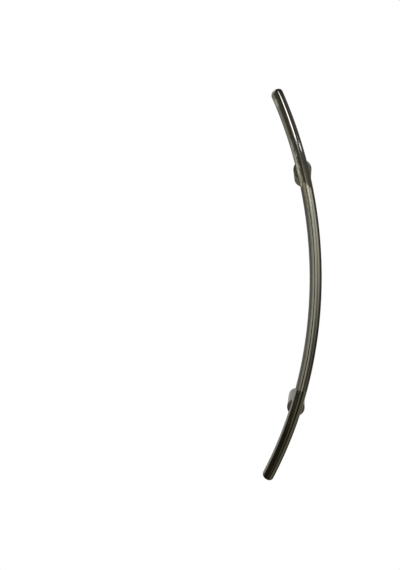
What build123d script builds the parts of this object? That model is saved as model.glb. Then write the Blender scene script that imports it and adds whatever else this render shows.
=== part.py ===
"""Crescent door pull: a bent round tube on two turned posts, with its concealed door fixing.

Frame: origin on the door face midway between the two fixing points, +Z up along the handle, +Y into the
door and +X the way the bar bows. All lengths are in millimetres. Distances called "stand" are measured
from the door face towards the hand.
"""

import os
from math import asin, atan, cos, degrees, hypot, sin, sqrt

from build123d import *

os.makedirs("parts", exist_ok=True)

# Overall layout
fixing_centres = 400.0
bend_radius = 750.0
end_reach = 324.0
bar_stand = 66.0

# Bar and end caps
bar_d = 20.0
bar_wall = 1.5
cap_head = 7.0
cap_edge_r = 6.0
cap_spigot = 10.0
cap_chamfer = 1.0
cap_gap = 0.1

# Posts
post_d = 30.0
seat_drop = 5.0
seat_gap = 0.02
rim_r = 1.8
rear_chamfer = 0.5
rear_bore_d = 18.0
web = 9.0

# Socket cap screw and split washer that hold the bar on each post
screw_d = 6.0
screw_length = 20.0
screw_head_d = 10.0
screw_head_h = 6.0
screw_chamfer = 0.6
screw_hex = 5.0
screw_hex_depth = 3.0
screw_hole_gap = 0.2
thread_gap = 0.02
thread_runout = 0.8
washer_od = 11.8
washer_t = 1.6
washer_slit = 0.6
washer_gap = 0.1

# Tapped insert in the tube at each post
insert_length = 24.0
insert_chamfer = 0.5
insert_gap = 0.15

# Boss that the door bolt pulls on
boss_gap = 0.05
boss_chamfer = 1.5
boss_head_room = 5.4
boss_floor = 7.0
bolt_hole_d = 6.8
groove_depth = 1.0

# Grub screw that locks the post on the boss
grub_d = 5.0
grub_stand = 12.0
grub_recess = 0.7
grub_chamfer = 0.4
grub_tip_r = 0.4
grub_point_gap = 0.05
grub_hex = 2.5
grub_hex_depth = 2.0

# Pad between post and door
gasket_t = 1.5
gasket_inset = 0.5
gasket_gap = 0.1

# Radii and stands that follow from the sizes above
bar_r = bar_d / 2
tube_r = bar_r - bar_wall
post_r = post_d / 2
bore_r = rear_bore_d / 2
boss_r = bore_r - boss_gap
bolt_hole_r = bolt_hole_d / 2
thread_r = screw_d / 2 + thread_gap
screw_hole_r = screw_d / 2 + screw_hole_gap
half_centres = fixing_centres / 2
post_front = bar_stand - seat_drop
seat_bottom = bar_stand - bar_r
web_back = seat_bottom - web
head_seat = web_back - washer_t
head_end = head_seat - screw_head_h
screw_tip = head_seat + screw_length
boss_front = head_end - boss_head_room
bolt_hole_end = boss_front - boss_floor
grub_point = boss_r - groove_depth + grub_point_gap
grub_outer = post_r - grub_recess

# The bar's arc: its axis stands square to the door
bend_x = -sqrt(bend_radius**2 - half_centres**2)
bend_axis = Axis((bend_x, 0, 0), (0, -1, 0))
post_angle = asin(half_centres / bend_radius)
saddle_angle = 1.5 * asin(post_r / bend_radius)
tube_angle = asin(end_reach / hypot(bend_radius, cap_head)) - atan(cap_head / bend_radius)


def bar_section(angle, way=1):
    """Plane square to the bar, at an angle (radians) up from the middle of the bow, facing up or down."""
    point = (bend_x + bend_radius * cos(angle), -bar_stand, bend_radius * sin(angle))
    return Plane(point, x_dir=(0, -1, 0), z_dir=(-way * sin(angle), 0, way * cos(angle)))


def lathe_plane(z):
    """Plane through a post's axis: local x is the radius, local y the stand."""
    return Plane((0, 0, z), x_dir=(1, 0, 0), z_dir=(0, 0, -1))


def lathe_axis(z):
    """Axis of a post."""
    return Axis((0, 0, z), (0, -1, 0))


def facing_plane(stand, z):
    """Plane parallel to the door on a post's axis, facing away from the door."""
    return Plane((0, -stand, z), x_dir=(1, 0, 0), z_dir=(0, -1, 0))


def under_plane(z):
    """Level plane on a grub screw's axis, facing down."""
    return Plane((0, -grub_stand, z), x_dir=(1, 0, 0), z_dir=(0, 0, -1))


# Bent tube with a screw hole through its back wall at each post
with BuildPart() as grip_tube:
    with BuildSketch(bar_section(-tube_angle)):
        Circle(bar_r)
        Circle(tube_r, mode=Mode.SUBTRACT)
    revolve(axis=bend_axis, revolution_arc=degrees(2 * tube_angle))
    for z in (half_centres, -half_centres):
        with BuildSketch(facing_plane(web_back, z)):
            Circle(screw_hole_r)
        extrude(amount=web + bar_r, mode=Mode.SUBTRACT)
grip_tube.part.label = "grip_tube"
export_step(grip_tube.part, "parts/grip_tube.step")

for place, way in (("upper", 1), ("lower", -1)):
    z = way * half_centres
    end_plane = bar_section(way * tube_angle, way)

    # Turned end cap: a well rounded head flush with the tube and a spigot inside it
    with BuildPart() as end_cap:
        with BuildSketch(end_plane):
            Circle(bar_r)
        extrude(amount=cap_head)
        fillet(end_cap.faces().sort_by(Axis(end_plane.origin, end_plane.z_dir))[-1].edges(), cap_edge_r)
        with BuildSketch(end_plane):
            Circle(tube_r - cap_gap)
        extrude(amount=-cap_spigot)
        chamfer(end_cap.faces().sort_by(Axis(end_plane.origin, end_plane.z_dir))[0].edges(), cap_chamfer)
    end_cap.part.label = f"{place}_end_cap"
    export_step(end_cap.part, f"parts/{place}_end_cap.step")

    # Turned post with a rear bore and a rounded front rim; its saddle is cut by the bar's own arc
    with BuildPart() as post:
        with BuildSketch(lathe_plane(z)):
            with BuildLine():
                Polyline(
                    (post_r, post_front - rim_r),
                    (post_r, gasket_t + rear_chamfer),
                    (post_r - rear_chamfer, gasket_t),
                    (bore_r + rear_chamfer, gasket_t),
                    (bore_r, gasket_t + rear_chamfer),
                    (bore_r, web_back),
                    (screw_hole_r, web_back),
                    (screw_hole_r, post_front),
                    (post_r - rim_r, post_front),
                )
                RadiusArc((post_r - rim_r, post_front), (post_r, post_front - rim_r), rim_r)
            make_face()
        revolve(axis=lathe_axis(z))
        with BuildSketch(bar_section(way * post_angle - saddle_angle)):
            Circle(bar_r + seat_gap)
        revolve(axis=bend_axis, revolution_arc=degrees(2 * saddle_angle), mode=Mode.SUBTRACT)
        with BuildSketch(under_plane(z)):
            Circle(grub_d / 2 + thread_gap)
        extrude(amount=post_d, mode=Mode.SUBTRACT)
    post.part.label = f"{place}_post"
    export_step(post.part, f"parts/{place}_post.step")

    # Slug in the tube, tapped from the post's side
    with BuildPart() as tube_insert:
        with BuildSketch(bar_section(way * post_angle)):
            Circle(tube_r - insert_gap)
        extrude(amount=insert_length / 2, both=True)
        chamfer(tube_insert.edges().filter_by(GeomType.CIRCLE), insert_chamfer)
        with BuildSketch(facing_plane(seat_bottom, z)):
            Circle(thread_r)
        extrude(amount=screw_tip + thread_runout - seat_bottom, mode=Mode.SUBTRACT)
    tube_insert.part.label = f"{place}_tube_insert"
    export_step(tube_insert.part, f"parts/{place}_tube_insert.step")

    # Turned boss: blind tapped hole with a drill point, lead-in chamfer and the grub screw's groove
    with BuildPart() as mount_boss:
        with BuildSketch(lathe_plane(z)):
            with BuildLine():
                Polyline(
                    (bolt_hole_r, 0),
                    (boss_r - rear_chamfer, 0),
                    (boss_r, rear_chamfer),
                    (boss_r, grub_stand - groove_depth),
                    (boss_r - groove_depth, grub_stand),
                    (boss_r, grub_stand + groove_depth),
                    (boss_r, boss_front - boss_chamfer),
                    (boss_r - boss_chamfer, boss_front),
                    (0, boss_front),
                    (0, bolt_hole_end + bolt_hole_r / 2),
                    (bolt_hole_r, bolt_hole_end),
                    close=True,
                )
            make_face()
        revolve(axis=lathe_axis(z))
    mount_boss.part.label = f"{place}_mount_boss"
    export_step(mount_boss.part, f"parts/{place}_mount_boss.step")

    # Flat pad ring
    with BuildPart() as gasket:
        with BuildSketch(facing_plane(0, z)):
            Circle(post_r - gasket_inset)
            Circle(boss_r + gasket_gap, mode=Mode.SUBTRACT)
        extrude(amount=gasket_t)
    gasket.part.label = f"{place}_gasket"
    export_step(gasket.part, f"parts/{place}_gasket.step")

# Socket cap screws: heads in the posts' rear bores, shanks through the web into the inserts
with BuildPart() as saddle_screws:
    for z in (half_centres, -half_centres):
        with BuildSketch(lathe_plane(z)):
            with BuildLine():
                Polyline(
                    (0, head_end),
                    (screw_head_d / 2 - screw_chamfer, head_end),
                    (screw_head_d / 2, head_end + screw_chamfer),
                    (screw_head_d / 2, head_seat),
                    (screw_d / 2, head_seat),
                    (screw_d / 2, screw_tip - screw_chamfer),
                    (screw_d / 2 - screw_chamfer, screw_tip),
                    (0, screw_tip),
                    close=True,
                )
            make_face()
        revolve(axis=lathe_axis(z))
        with BuildSketch(facing_plane(head_end, z)):
            RegularPolygon(screw_hex / 2, 6, major_radius=False)
        extrude(amount=screw_hex_depth, mode=Mode.SUBTRACT)
saddle_screws.part.label = "saddle_screws"
export_step(saddle_screws.part, "parts/saddle_screws.step")

# Split washers between those heads and the web
with BuildPart() as spring_washers:
    for z in (half_centres, -half_centres):
        with BuildSketch(facing_plane(head_seat, z)):
            Circle(washer_od / 2)
            Circle(screw_d / 2 + washer_gap, mode=Mode.SUBTRACT)
            with Locations((washer_od / 2, 0)):
                Rectangle(washer_od, washer_slit, mode=Mode.SUBTRACT)
        extrude(amount=washer_t)
spring_washers.part.label = "spring_washers"
export_step(spring_washers.part, "parts/spring_washers.step")

# Cone point grub screws in the undersides of the posts
with BuildPart() as grub_screws:
    for z in (half_centres, -half_centres):
        with BuildSketch(Plane((0, -grub_stand, z), x_dir=(1, 0, 0), z_dir=(0, 1, 0))):
            with BuildLine():
                Polyline(
                    (0, grub_point + grub_tip_r),
                    (grub_tip_r, grub_point + grub_tip_r),
                    (grub_d / 2, grub_point + grub_d / 2),
                    (grub_d / 2, grub_outer - grub_chamfer),
                    (grub_d / 2 - grub_chamfer, grub_outer),
                    (0, grub_outer),
                    close=True,
                )
            make_face()
        revolve(axis=Axis((0, -grub_stand, z), (0, 0, -1)))
        with BuildSketch(under_plane(z - grub_outer)):
            RegularPolygon(grub_hex / 2, 6, major_radius=False)
        extrude(amount=-grub_hex_depth, mode=Mode.SUBTRACT)
grub_screws.part.label = "grub_screws"
export_step(grub_screws.part, "parts/grub_screws.step")
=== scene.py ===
"""Dressed scene of a crescent door pull: dark plating, a brushed grip, turned posts and their fixing.

Lengths are in metres in the part's own frame: +Z up along the handle, +Y into the door, +X the way the bar
bows, origin on the door face midway between the fixing points. A "stand" is a distance from the door towards
the hand.
"""

import logging
import math
from dataclasses import dataclass
from enum import Enum

import bmesh
import bpy
import numpy as np
from mathutils import Matrix


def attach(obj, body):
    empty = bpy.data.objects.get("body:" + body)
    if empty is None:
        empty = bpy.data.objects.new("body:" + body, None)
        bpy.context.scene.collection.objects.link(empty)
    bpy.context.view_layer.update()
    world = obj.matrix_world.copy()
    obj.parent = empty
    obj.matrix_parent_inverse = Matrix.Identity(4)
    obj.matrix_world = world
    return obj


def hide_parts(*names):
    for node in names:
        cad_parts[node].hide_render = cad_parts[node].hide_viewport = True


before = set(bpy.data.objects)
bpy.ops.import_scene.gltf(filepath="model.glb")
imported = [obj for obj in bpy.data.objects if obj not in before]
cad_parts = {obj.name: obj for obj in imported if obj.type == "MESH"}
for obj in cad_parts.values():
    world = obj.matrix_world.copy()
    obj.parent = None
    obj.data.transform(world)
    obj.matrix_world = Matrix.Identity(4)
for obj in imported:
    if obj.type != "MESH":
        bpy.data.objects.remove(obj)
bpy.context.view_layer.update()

log = logging.getLogger("door_pull")

PLACE = "place"

Socket = bpy.types.NodeSocket
Colour = tuple[float, float, float]
Edges = tuple[float, float, float, float]
Tones = tuple[tuple[float, float], ...]

FRONT = np.array([0.0, -1.0, 0.0])
SIDE = np.array([1.0, 0.0, 0.0])
UP = np.array([0.0, 0.0, 1.0])
WHITE = (1.0, 1.0, 1.0, 1.0)

# Points closer than WELD join, edges shorter than NO_LENGTH go and edges that turn by more than SHARP_DEG
# stay sharp
WELD = 2e-7
NO_LENGTH = 1e-8
SHARP_DEG = 32.0


class Slot(Enum):
    """Material slots of the part."""

    PLATED = "plated_metal"
    TURNED = "plain_steel"
    FASTENER = "fastener_steel"
    RUBBER = "pad_rubber"


class End(Enum):
    """The two ends of the handle; the value is the sign of Z."""

    UPPER = 1
    LOWER = -1

    @property
    def word(self) -> str:
        """Word used in the names of the pieces at this end."""
        return self.name.lower()


@dataclass(frozen=True)
class PullSizes:
    """Sizes that the pieces share."""

    half_centres: float = 0.200
    bend_radius: float = 0.750
    end_reach: float = 0.324
    bar_stand: float = 0.066
    bar_r: float = 0.00997
    bar_wall: float = 0.0015
    cap_head: float = 0.007
    post_r: float = 0.015
    seat_drop: float = 0.005
    seat_gap: float = 0.00002
    bore_r: float = 0.009
    web_back: float = 0.047
    gasket_t: float = 0.0015
    grub_stand: float = 0.012
    grub_hole_r: float = 0.00252

    @property
    def bend_x(self) -> float:
        """X of the axis that the bar is bent round."""
        return -math.sqrt(self.bend_radius**2 - self.half_centres**2)

    @property
    def post_angle(self) -> float:
        """Angle along the bar from its middle to a post, in radians."""
        return math.asin(self.half_centres / self.bend_radius)

    @property
    def tube_angle(self) -> float:
        """Angle along the bar from its middle to the end of the tube, in radians."""
        slant = math.hypot(self.bend_radius, self.cap_head)
        return math.asin(self.end_reach / slant) - math.atan(self.cap_head / self.bend_radius)

    @property
    def post_front(self) -> float:
        """Stand of the posts' front faces."""
        return self.bar_stand - self.seat_drop

    def post_foot(self, end: End) -> np.ndarray:
        """Point where a post's axis meets the door."""
        return np.array([0.0, 0.0, end.value * self.half_centres])


SIZES = PullSizes()


@dataclass(frozen=True)
class Block:
    """A block of a grid, given by its outer rows and columns."""

    top: int
    bottom: int
    left: int
    right: int

    def border(self, points: np.ndarray) -> np.ndarray:
        """Return the points on the block's border, once round in order."""
        return np.concatenate([
            points[self.top, self.left:self.right], points[self.top:self.bottom, self.right],
            points[self.bottom, self.right:self.left:-1], points[self.bottom:self.top:-1, self.left]])


@dataclass
class Surface:
    """A mesh in the making: points, faces of four corners and each point's place for patterns."""

    points: np.ndarray
    quads: np.ndarray
    place: np.ndarray

    @classmethod
    def grid(cls, points: np.ndarray, place: np.ndarray, wrap_rows: bool = False, wrap_cols: bool = True,
             gaps: tuple[Block, ...] = ()) -> "Surface":
        """Join a grid of points into four-cornered faces.

        Args:
            points: Array of rows, columns and 3.
            place: Array of the same shape with the pattern coordinates.
            wrap_rows: Whether the last row joins the first.
            wrap_cols: Whether the last column joins the first.
            gaps: Blocks of the grid that are left open.

        Returns:
            The surface of that grid.
        """
        rows, cols = points.shape[:2]
        index = np.arange(rows * cols).reshape(rows, cols)
        if wrap_rows:
            index = np.vstack([index, index[:1]])
        if wrap_cols:
            index = np.hstack([index, index[:, :1]])
        quads = np.stack([index[:-1, :-1], index[:-1, 1:], index[1:, 1:], index[1:, :-1]], -1)
        kept = np.ones(quads.shape[:2], bool)
        for gap in gaps:
            kept[gap.top:gap.bottom, gap.left:gap.right] = False
        return cls(points.reshape(-1, 3), quads[kept], place.reshape(-1, 3))

    def joined(self, other: "Surface") -> "Surface":
        """Return this surface with another one beside it."""
        quads = np.vstack([self.quads, other.quads + len(self.points)])
        return Surface(np.vstack([self.points, other.points]), quads, np.vstack([self.place, other.place]))

    def build(self, name: str) -> bpy.types.Object:
        """Weld seams and poles, turn the faces outwards and make the object.

        Args:
            name: Name of the piece.

        Returns:
            The new object, at the origin.
        """
        mesh = bpy.data.meshes.new(name)
        mesh.from_pydata(self.points.tolist(), [], self.quads.tolist())
        mesh.attributes.new(PLACE, "FLOAT_VECTOR", "POINT").data.foreach_set("vector", self.place.ravel())
        work = bmesh.new()
        work.from_mesh(mesh)
        bmesh.ops.remove_doubles(work, verts=work.verts, dist=WELD)
        bmesh.ops.dissolve_degenerate(work, edges=work.edges, dist=NO_LENGTH)
        bmesh.ops.recalc_face_normals(work, faces=work.faces)
        work.to_mesh(mesh)
        work.free()
        mesh.shade_smooth()
        mesh.set_sharp_from_angle(angle=math.radians(SHARP_DEG))
        piece = bpy.data.objects.new(name, mesh)
        bpy.context.scene.collection.objects.link(piece)
        return piece


def rounded(start: tuple[float, float], corner: tuple[float, float], end: tuple[float, float], radius: float,
            steps: int) -> np.ndarray:
    """Round a right-angled corner of a profile with a quarter circle.

    The arc is centre - radius * (cos(angle) * way on + sin(angle) * way back), with the angle from 0 to
    90 degrees.

    Args:
        start: A point on the side before the corner.
        corner: The corner.
        end: A point on the side after it.
        radius: Radius of the rounding.
        steps: Points on the arc.

    Returns:
        Array of points along the arc.
    """
    apex = np.array(corner)
    back = (np.array(start) - apex) / np.linalg.norm(np.array(start) - apex)
    on = (np.array(end) - apex) / np.linalg.norm(np.array(end) - apex)
    centre = apex + radius * (back + on)
    turn = np.linspace(0.0, math.pi / 2, steps)[:, None]
    return centre - radius * (on * np.cos(turn) + back * np.sin(turn))


def angles_round(segments: int) -> np.ndarray:
    """Return evenly spaced angles once round an axis, as one row."""
    return np.linspace(0.0, 2 * math.pi, segments, endpoint=False)[None, :]


def all_round(profile: np.ndarray | list[tuple[float, float]], segments: int) -> np.ndarray:
    """Return a profile of (radius, height) pairs repeated at every angle round its axis."""
    return np.repeat(np.asarray(profile)[:, None, :], segments, 1)


def straight(radius: float, heights: np.ndarray) -> np.ndarray:
    """Return a stretch of a profile that keeps one radius."""
    return np.column_stack([np.full(len(heights), radius), heights])


def turned(profile: np.ndarray, origin: np.ndarray, axis: np.ndarray, first: np.ndarray) -> Surface:
    """Carry a profile round an axis.

    A point is origin + height * axis + radius * (cos(angle) * first + sin(angle) * axis x first).

    Args:
        profile: Array of rows x segments x (radius, height).
        origin: Point where the height is nought.
        axis: Unit vector of the axis.
        first: Unit vector of angle nought.

    Returns:
        The surface; its place is (height, radius * cos(angle), radius * sin(angle)).
    """
    angle = angles_round(profile.shape[1])
    radius, height = profile[..., 0], profile[..., 1]
    across, side = radius * np.cos(angle), radius * np.sin(angle)
    second = np.cross(axis, first)
    points = origin + height[..., None] * axis + across[..., None] * first + side[..., None] * second
    return Surface.grid(points, np.stack([height, across, side], -1))


def thread(height: np.ndarray, angle: np.ndarray, pitch: float, depth: float) -> np.ndarray:
    """Depth of a screw thread over a cylinder.

    The result is the full depth times clip(3/2 * w - 1/4, 0, 1), a flat-topped ridge, where w is twice the
    distance of height / pitch - angle / full turn from the nearest whole number. So the ridge climbs one
    pitch in each turn.

    Args:
        height: Heights along the axis.
        angle: Angles round it, in radians.
        pitch: Pitch of the thread.
        depth: Its full depth.

    Returns:
        Depths, from nought to the full depth.
    """
    turns = height / pitch - angle / (2 * math.pi)
    wave = 2.0 * np.abs(turns - np.round(turns))
    return depth * np.clip(1.5 * wave - 0.25, 0.0, 1.0)


class Graph:
    """A node tree with short ways to add and join nodes."""

    def __init__(self, tree: bpy.types.NodeTree) -> None:
        """Start on an emptied tree."""
        self.tree = tree
        tree.nodes.clear()

    def add(self, kind: str, inputs: dict | None = None, **props: object) -> bpy.types.Node:
        """Add a node.

        Args:
            kind: Blender's node class name.
            inputs: Values or sockets for its inputs, by name or number.
            props: Properties of the node.

        Returns:
            The node.
        """
        node = self.tree.nodes.new(kind)
        for name, value in props.items():
            setattr(node, name, value)
        for name, value in (inputs or {}).items():
            if isinstance(value, Socket):
                self.tree.links.new(value, node.inputs[name])
            else:
                node.inputs[name].default_value = value
        return node

    def math(self, operation: str, *values: object) -> Socket:
        """Add a Math node on these values and return its result."""
        return self.add("ShaderNodeMath", dict(enumerate(values)), operation=operation).outputs[0]

    def vector(self, operation: str, inputs: dict, result: int | str = 0) -> Socket:
        """Add a Vector Math node with these inputs and return one of its results."""
        return self.add("ShaderNodeVectorMath", inputs, operation=operation).outputs[result]

    def product(self, value: Socket, *others: object) -> Socket:
        """Multiply a value by all the others and return the result."""
        for other in others:
            value = self.math("MULTIPLY", value, other)
        return value

    def swing(self, noise: Socket, size: float, middle: object) -> Socket:
        """Let a value swing about its middle as a noise does about one half, and return the result."""
        return self.math("MULTIPLY_ADD", self.math("SUBTRACT", noise, 0.5), size, middle)

    def ramp(self, value: Socket, low: float, high: float, to_low: float = 0.0,
             to_high: float = 1.0) -> Socket:
        """Map a value smoothly from one range to another and return the result."""
        inputs = {"Value": value, "From Min": low, "From Max": high, "To Min": to_low, "To Max": to_high}
        return self.add("ShaderNodeMapRange", inputs, interpolation_type="SMOOTHSTEP").outputs[0]

    def noise(self, place: Socket, scale: object, detail: float, roughness: float = 0.5) -> Socket:
        """Add a Noise Texture and return its value."""
        inputs = {"Vector": place, "Scale": scale, "Detail": detail, "Roughness": roughness}
        return self.add("ShaderNodeTexNoise", inputs).outputs["Fac"]

    def strip(self, value: Socket, edges: Edges) -> Socket:
        """Rise smoothly between the first two edges, fall between the last two and return the result."""
        start, full, fade, end = edges
        return self.product(self.ramp(value, start, full), self.ramp(value, fade, end, 1.0, 0.0))

    def mix(self, factor: Socket, first: object, second: object) -> Socket:
        """Blend two colours and return the result."""
        inputs = {0: factor, 6: first, 7: second}
        return self.add("ShaderNodeMix", inputs, data_type="RGBA").outputs[2]

    def blend(self, factor: Socket, first: Socket, second: Socket) -> Socket:
        """Blend two values and return the result."""
        inputs = {0: factor, 2: first, 3: second}
        return self.add("ShaderNodeMix", inputs, data_type="FLOAT").outputs[0]

    def relief(self, height: Socket, strength: float, distance: float) -> Socket:
        """Turn a height into a bumped normal and return it."""
        inputs = {"Strength": strength, "Distance": distance, "Height": height}
        return self.add("ShaderNodeBump", inputs).outputs[0]

    def show(self, shader: bpy.types.Node) -> None:
        """Join a shader to the material's output."""
        self.add("ShaderNodeOutputMaterial", {"Surface": shader.outputs[0]})

    def principled(self, inputs: dict) -> None:
        """Add a Principled BSDF with these inputs and show it."""
        self.show(self.add("ShaderNodeBsdfPrincipled", inputs))


def new_material(name: str) -> tuple[bpy.types.Material, Graph]:
    """Make a material and start its graph."""
    material = bpy.data.materials.new(name)
    material.use_nodes = True
    return material, Graph(material.node_tree)


class Effect:
    """Base of a shader effect that several finishes share: a node group with named sockets."""

    name = "effect"
    takes: dict[str, tuple[str, object]] = {}
    gives = "Value"

    def __init__(self) -> None:
        """Make the group's sockets, then its nodes."""
        self.group = bpy.data.node_groups.new(self.name, "ShaderNodeTree")
        for label, (kind, value) in self.takes.items():
            socket = self.group.interface.new_socket(label, in_out="INPUT", socket_type=kind)
            if value is not None:
                socket.default_value = value
        self.group.interface.new_socket(self.gives, in_out="OUTPUT", socket_type="NodeSocketFloat")
        graph = Graph(self.group)
        given = graph.add("NodeGroupInput").outputs
        graph.add("NodeGroupOutput", {self.gives: self.fill(graph, given)})

    def fill(self, graph: Graph, given: bpy.types.bpy_prop_collection) -> Socket:
        """Build the group's inside and return its result."""
        raise NotImplementedError

    def place(self, graph: Graph, **inputs: object) -> Socket:
        """Put the group into a material with its own values and return its result."""
        return graph.add("ShaderNodeGroup", inputs, node_tree=self.group).outputs[self.gives]


class BeltLines(Effect):
    """Lines that a polishing belt leaves: noise drawn out along the first axis of the place."""

    name = "belt_lines"
    takes = {
        "Place": ("NodeSocketVector", None),
        "Along": ("NodeSocketFloat", 6.0),
        "Across": ("NodeSocketFloat", 500.0),
    }
    gives = "Lines"
    detail = 3.0
    roughness = 0.6

    def fill(self, graph: Graph, given: bpy.types.bpy_prop_collection) -> Socket:
        """Noise on the place scaled by Along in length and by Across round the piece."""
        scale = graph.add("ShaderNodeCombineXYZ", {0: given["Along"], 1: given["Across"], 2: given["Across"]})
        drawn = graph.vector("MULTIPLY", {0: given["Place"], 1: scale.outputs[0]})
        return graph.noise(drawn, 1.0, self.detail, self.roughness)


class Smudges(Effect):
    """Faint handling marks: soft patches that come and go over the surface."""

    name = "smudges"
    takes = {"Place": ("NodeSocketVector", None), "Scale": ("NodeSocketFloat", 60.0)}
    gives = "Mask"
    coarse_detail = 2.0
    fine_detail = 4.0
    fine_times = 9.0
    patch_from = 0.48
    patch_to = 0.68

    def fill(self, graph: Graph, given: bpy.types.bpy_prop_collection) -> Socket:
        """Fine noise that shows only inside the patches of a coarse one."""
        place, scale = given["Place"], given["Scale"]
        coarse = graph.noise(place, scale, self.coarse_detail)
        fine = graph.noise(place, graph.product(scale, self.fine_times), self.fine_detail)
        return graph.product(graph.ramp(coarse, self.patch_from, self.patch_to), fine)


# Well past the bar on every side, for a patch that has no edge there
FAR = 1.0
BEFORE = (-FAR, -FAR / 2)
BEYOND = (FAR / 2, FAR)


@dataclass(frozen=True)
class Patch:
    """A soft-edged patch of the unbent bar.

    Its edges say where it starts, is full, starts to fade and ends, along the bar from its middle and
    across it towards the outside of the bend.
    """

    along: Edges
    across: Edges
    share: float = 1.0


@dataclass(frozen=True)
class BarFinish:
    """Dark plating on the bar: mirror polish at the ends and a belt-brushed grip between the posts."""

    polished: Colour = (0.155, 0.152, 0.122)
    hazed: Colour = (0.335, 0.332, 0.272)
    brushed: Colour = (0.392, 0.384, 0.310)
    # Colour of the painted highlight streaks and of the pale tip patch
    wisp_highlight_colour: Colour = (0.500, 0.490, 0.405)
    # Tint of the painted warm reflection near the upper post
    warm_reflection_colour: Colour = (1.05, 1.00, 0.92)

    polished_rough: float = 0.07
    worn_rough: float = 0.09
    mark_rough: float = 0.50
    brushed_rough: float = 0.24
    line_rough: float = 0.14
    line_bump: float = 0.15
    line_depth: float = 0.0002

    # Noise scales along and round the bar
    fine_lines: tuple[float, float] = (5.0, 900.0)
    broad_lines: tuple[float, float] = (9.0, 240.0)
    wisp_highlight_lines: tuple[float, float] = (60.0, 660.0)
    mark_scale: float = 110.0

    # The brushed stretch and its peaked, ragged upper edge
    grip_half: float = 0.168
    grip_edge: float = 0.0008
    grip_peak: float = -0.003
    grip_peak_half: float = 0.008
    grip_slant: float = 1.1
    grip_ragged: float = 0.012

    # Painted reflection bands round the grip: angle from the front in degrees, and tone
    upper_reflection_tones: Tones = (
        (-180.0, 0.80), (-168.0, 0.55), (-156.0, 0.90), (-140.0, 0.62), (-122.0, 0.80), (-104.0, 0.45),
        (-84.0, 0.30), (-58.0, 0.18), (-44.0, 0.19), (-32.0, 0.62), (-20.0, 0.85), (-15.0, 0.80),
        (-12.0, 0.36), (-8.0, 0.36), (-5.0, 0.85), (0.0, 1.05), (8.0, 1.15), (12.0, 1.00), (17.0, 0.40),
        (20.0, 0.36), (25.0, 1.40), (32.0, 1.48), (37.0, 0.70), (42.0, 0.20), (58.0, 0.26), (80.0, 0.52),
        (98.0, 0.36), (116.0, 0.74), (134.0, 0.52), (152.0, 0.92), (180.0, 0.80),
    )
    lower_reflection_tones: Tones = (
        (-180.0, 0.80), (-168.0, 0.60), (-156.0, 0.85), (-140.0, 0.58), (-122.0, 0.84), (-104.0, 0.50),
        (-84.0, 0.34), (-58.0, 0.22), (-44.0, 0.26), (-32.0, 0.88), (-20.0, 1.00), (-15.0, 0.85),
        (-12.5, 0.06), (-7.5, 0.06), (-4.5, 1.00), (-2.0, 2.20), (1.5, 2.20), (5.0, 0.75), (12.0, 0.60),
        (17.0, 0.28), (21.0, 0.25), (26.0, 0.60), (33.0, 0.54), (41.0, 0.20), (58.0, 0.26), (80.0, 0.50),
        (98.0, 0.38), (116.0, 0.70), (134.0, 0.55), (152.0, 0.88), (180.0, 0.80),
    )
    reflection_band_change: tuple[float, float] = (-0.08, 0.18)
    reflection_band_wander: float = 0.07
    line_swing: tuple[float, float] = (0.25, 0.75)
    line_tones: tuple[float, float] = (0.80, 1.22)

    # Handling: marks on the bow's inner side round the upper post. Then painted light near the lower post,
    # painted highlight streaks above the upper one with a pale patch at the upper tip, a painted highlight on
    # the front and a painted warm reflection near the upper post
    worn: Patch = Patch((0.10, 0.16, 0.236, 0.252), (*BEFORE, -0.0046, -0.0014))
    least_worn: float = 0.12
    mark_shown: tuple[float, float] = (0.10, 0.36)
    mark_haze: float = 0.60
    # Painted light: paler near the lower post, where a haze would catch stray light
    painted_haze_light: Patch = Patch((-0.25, -0.21, -0.16, -0.15), (-0.006, -0.004, -0.001, 0.001))
    # Painted highlight streaks above the upper post, and a pale patch at the upper tip, both on the front
    # half
    wisp_highlight_band: Patch = Patch((0.168, 0.176, 0.236, 0.256), (-0.0090, -0.0074, -0.0046, -0.0030))
    wisp_highlight_shown: tuple[float, float] = (0.50, 0.58)
    pale_tip_patch: Patch = Patch((0.305, 0.311, 0.3185, 0.3215), (*BEFORE, -0.0052, -0.0026), 0.42)
    front_limit: tuple[float, float] = (0.0, 0.003)
    # Painted highlight on the front of the upper grip
    painted_front_highlight: Patch = Patch((0.115, 0.160, *BEYOND), (-0.0042, -0.0026, 0.0052, 0.0064), 0.26)
    # Painted warm reflection near the upper post
    warm_reflection_patch: Patch = Patch((0.130, 0.175, 0.195, 0.206), (*BEFORE, *BEYOND))


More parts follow.
